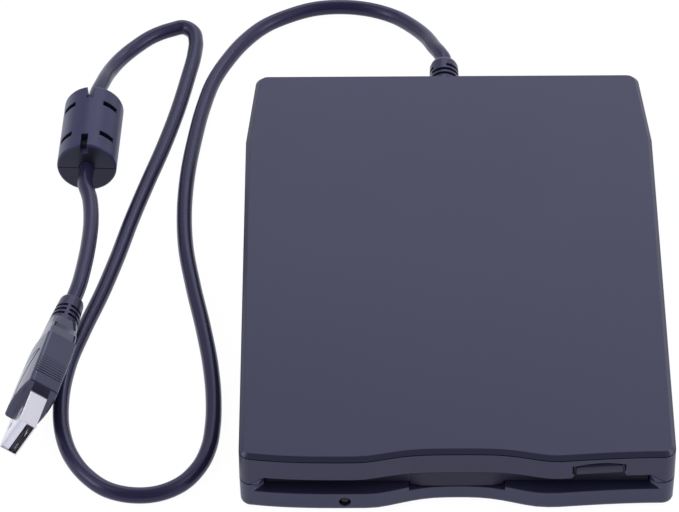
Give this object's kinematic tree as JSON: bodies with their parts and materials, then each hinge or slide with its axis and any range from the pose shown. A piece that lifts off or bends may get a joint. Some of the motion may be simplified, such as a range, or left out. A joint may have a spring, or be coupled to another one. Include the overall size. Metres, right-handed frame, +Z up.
{
  "type": "external floppy disk drive",
  "caption": "Slim black desktop drive for 3.5 inch floppy disks, with a sprung slot flap, eject button, loading mechanism, and a looped USB cord with a ferrite and plug.",
  "frame": {"origin": "centre of the casing's footprint, on the surface that its rubber feet stand on, the cord left out", "axes": "+Z up, +Y towards the rear wall where the cord leaves, -Y out of the disk slot, +X to the right seen from the slot"},
  "size_m": [0.1623, 0.1912, 0.018],
  "materials": {
    "black_cover": "finely grained moulded casing",
    "black_door": "smooth moulded flap",
    "black_plug": "soft-touch overmould",
    "black_ferrite": "moulded sleeve",
    "cord_plastic": "smooth flexible jacket",
    "foot_rubber": "matte rubber",
    "black_inner": "moulded",
    "grey_plastic": "glass-filled moulding",
    "white_plastic": "moulded",
    "lamp_lens": "moulded light guide",
    "lead_plastic": "insulated leads",
    "board_green": "solder-masked board",
    "screw_steel": "zinc-plated",
    "zinc_steel": "zinc-plated sheet",
    "bright_steel": "bright sheet and bar",
    "plug_nickel": "nickel-plated stamped shell",
    "copper_wire": "enamelled windings",
    "bearing_brass": "sintered bush",
    "contact_gold": "gold-plated",
    "ferrite_grey": "sintered ferrite"
  },
  "bodies": {
    "housing": {"top_cover": "black_cover", "bottom_cover": "black_cover", "rubber_feet": "foot_rubber", "cover_screws": "screw_steel", "chassis_screws": "screw_steel", "board_screws": "screw_steel", "led_lens": "lamp_lens", "led_board": "board_green", "chassis": "zinc_steel", "top_shield": "bright_steel", "motor_board": "board_green", "motor_coils": "copper_wire", "spindle_bearing": "bearing_brass", "stepper_can": "bright_steel", "stepper_bracket": "zinc_steel", "guide_rod": "bright_steel", "switch_blocks": "black_inner", "drive_board": "board_green", "ribbon_cable": "white_plastic", "controller_board": "board_green", "cord_connector": "white_plastic", "cord_leads": "lead_plastic", "strain_relief": "cord_plastic", "cord_long": "cord_plastic", "cord_inside": "cord_plastic", "cord_short": "cord_plastic", "ferrite_cover": "black_ferrite", "ferrite_core": "ferrite_grey", "plug_relief": "cord_plastic", "plug_grip": "black_plug", "plug_shell": "plug_nickel", "plug_tongue": "white_plastic", "plug_contacts": "contact_gold"},
    "door": {"door_flap": "black_door"},
    "eject": {"eject_slide": "bright_steel", "eject_button": "black_cover"},
    "holder": {"disk_holder": "zinc_steel"},
    "trigger": {"trigger_lever": "grey_plastic"},
    "carriage": {"head_carriage": "grey_plastic", "lower_head": "black_inner", "arm_pin": "bright_steel"},
    "head_arm": {"upper_arm": "bright_steel", "upper_head": "black_inner"},
    "feed_screw": {"lead_screw": "screw_steel"},
    "spindle": {"spindle_rotor": "bright_steel", "chuck_hub": "grey_plastic"},
    "protect_switch": {"protect_plunger": "white_plastic"},
    "disk_switch": {"disk_plunger": "white_plastic"}
  },
  "joints": [
    {"name": "flap_hinge", "type": "hinge", "parent": "housing", "child": "door", "pos_m": [0, -0.0665, 0.0119], "axis": [1, 0, 0], "range_deg": [0, 80], "stiffness_Nm_per_rad": 0.0002, "springref_deg": -17.19},
    {"name": "eject_slide", "type": "slide", "parent": "housing", "child": "eject", "axis": [0, -1, 0], "range_m": [0, 0.005]},
    {"name": "holder_drop", "type": "slide", "parent": "housing", "child": "holder", "axis": [0, 0, -1], "range_m": [0, 0.0018]},
    {"name": "trigger_pivot", "type": "hinge", "parent": "housing", "child": "trigger", "pos_m": [-0.036, 0.034, 0.0137], "axis": [0, 0, 1], "range_deg": [0, 20]},
    {"name": "head_travel", "type": "slide", "parent": "housing", "child": "carriage", "axis": [0, -1, 0], "range_m": [0, 0.0148]},
    {"name": "arm_pivot", "type": "hinge", "parent": "carriage", "child": "head_arm", "pos_m": [0, 0.0478, 0.0119], "axis": [1, 0, 0], "range_deg": [0, 10]},
    {"name": "screw_turn", "type": "hinge", "parent": "housing", "child": "feed_screw", "pos_m": [0.016, 0.0401, 0.009], "axis": [0, 1, 0], "range_deg": [0, 1422]},
    {"name": "spindle_turn", "type": "hinge", "parent": "housing", "child": "spindle", "pos_m": [0, -0.0175, 0.0045], "axis": [0, 0, 1], "continuous": true},
    {"name": "protect_press", "type": "slide", "parent": "housing", "child": "protect_switch", "axis": [0, 0, -1], "range_m": [0, 0.0016], "stiffness_N_per_m": 100},
    {"name": "disk_press", "type": "slide", "parent": "housing", "child": "disk_switch", "axis": [0, 0, -1], "range_m": [0, 0.0016], "stiffness_N_per_m": 100}
  ],
  "couplings": [
    {"joint": "holder_drop", "follows": "eject_slide", "ratio": 0.36},
    {"joint": "trigger_pivot", "follows": "eject_slide", "rad_per_m": 69.812},
    {"joint": "arm_pivot", "follows": "eject_slide", "rad_per_m": 34.906},
    {"joint": "screw_turn", "follows": "head_travel", "rad_per_m": 1675.5}
  ]
}
